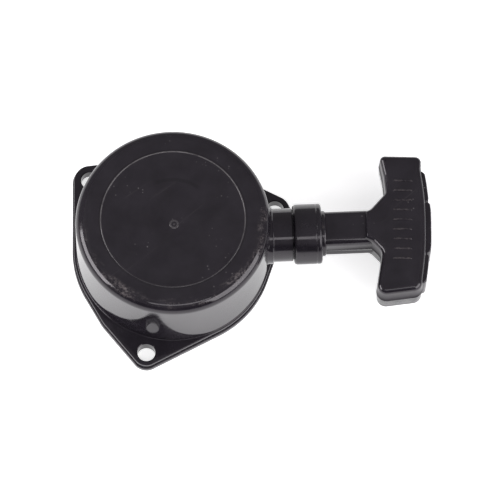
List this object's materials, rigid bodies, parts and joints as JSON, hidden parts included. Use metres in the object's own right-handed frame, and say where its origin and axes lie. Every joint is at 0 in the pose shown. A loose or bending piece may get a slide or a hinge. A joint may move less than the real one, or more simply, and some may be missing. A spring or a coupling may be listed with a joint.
{
  "type": "recoil starter",
  "caption": "Drum-shaped recoil starter with an eared flange, a rope neck and a T-handle; pulling the handle spins the sprung reel and its pawls.",
  "frame": {"origin": "centre of the object's bounding box on X and Y, on the flange's mounting face; the drum's axis is at X -35.2298 mm, Y +5.206 mm", "axes": "+Z away from the engine along the drum's axis, +X along the rope neck towards the T-handle"},
  "size_m": [0.1612, 0.1006, 0.044],
  "materials": {
    "moulded_black": "glossy black moulded plastic with fine scratches, satin on the drum's flat top",
    "grip_black": "glossy black moulded plastic with a satin top face and a parting line",
    "cap_black": "glossy black moulded plastic",
    "nylon": "natural nylon, slightly waxy",
    "zinc_plate": "zinc-plated sheet steel",
    "steel": "bare machined steel",
    "blued_steel": "blued spring steel strip",
    "reel_grey": "dark grey glass-filled nylon",
    "rope": "white braided starter cord"
  },
  "bodies": {
    "case": {"starter_case": "moulded_black", "outlet_collar": "moulded_black", "rope_bush": "nylon", "spring_case": "zinc_plate", "mainspring": "blued_steel", "spring_cover": "zinc_plate", "centre_screw": "zinc_plate", "screw_washer": "zinc_plate"},
    "reel": {"rope_reel": "reel_grey", "rope_wound": "rope", "reel_knot": "rope", "pawl_pin_1": "steel", "pawl_pin_2": "steel", "pawl_spring_1": "steel", "pawl_spring_2": "steel"},
    "guide": {"pawl_guide": "zinc_plate", "brake_spring": "steel"},
    "pawl_a": {"pawl_1": "steel"},
    "pawl_b": {"pawl_2": "steel"},
    "handle": {"handle_grip": "grip_black", "handle_cap": "cap_black", "knot_washer": "zinc_plate", "handle_knot": "rope", "rope_lead": "rope"}
  },
  "joints": [
    {"name": "handle_pull", "type": "slide", "parent": "case", "child": "handle", "axis": [1, 0, 0], "range_m": [0, 0.6], "stiffness_N_per_m": 12, "springref_m": -0.5, "deforming": ["rope_lead"]},
    {"name": "reel_spin", "type": "hinge", "parent": "case", "child": "reel", "pos_m": [-0.03523, 0.00521, 0.018], "axis": [0, 0, -1], "range_deg": [0, 1290], "deforming": ["mainspring"]},
    {"name": "guide_lag", "type": "hinge", "parent": "reel", "child": "guide", "pos_m": [-0.03523, 0.00521, 0.018], "axis": [0, 0, 1], "range_deg": [0, 24], "stiffness_Nm_per_rad": 0.002},
    {"name": "pawl_1_swing", "type": "hinge", "parent": "reel", "child": "pawl_a", "pos_m": [-0.03523, 0.02021, 0.008], "axis": [0, 0, 1], "range_deg": [0, 24]},
    {"name": "pawl_2_swing", "type": "hinge", "parent": "reel", "child": "pawl_b", "pos_m": [-0.03523, -0.00979, 0.008], "axis": [0, 0, 1], "range_deg": [0, 24]}
  ],
  "couplings": [
    {"joint": "reel_spin", "follows": "handle_pull", "rad_per_m": 37.313},
    {"joint": "pawl_1_swing", "follows": "guide_lag", "ratio": 1},
    {"joint": "pawl_2_swing", "follows": "guide_lag", "ratio": 1}
  ]
}
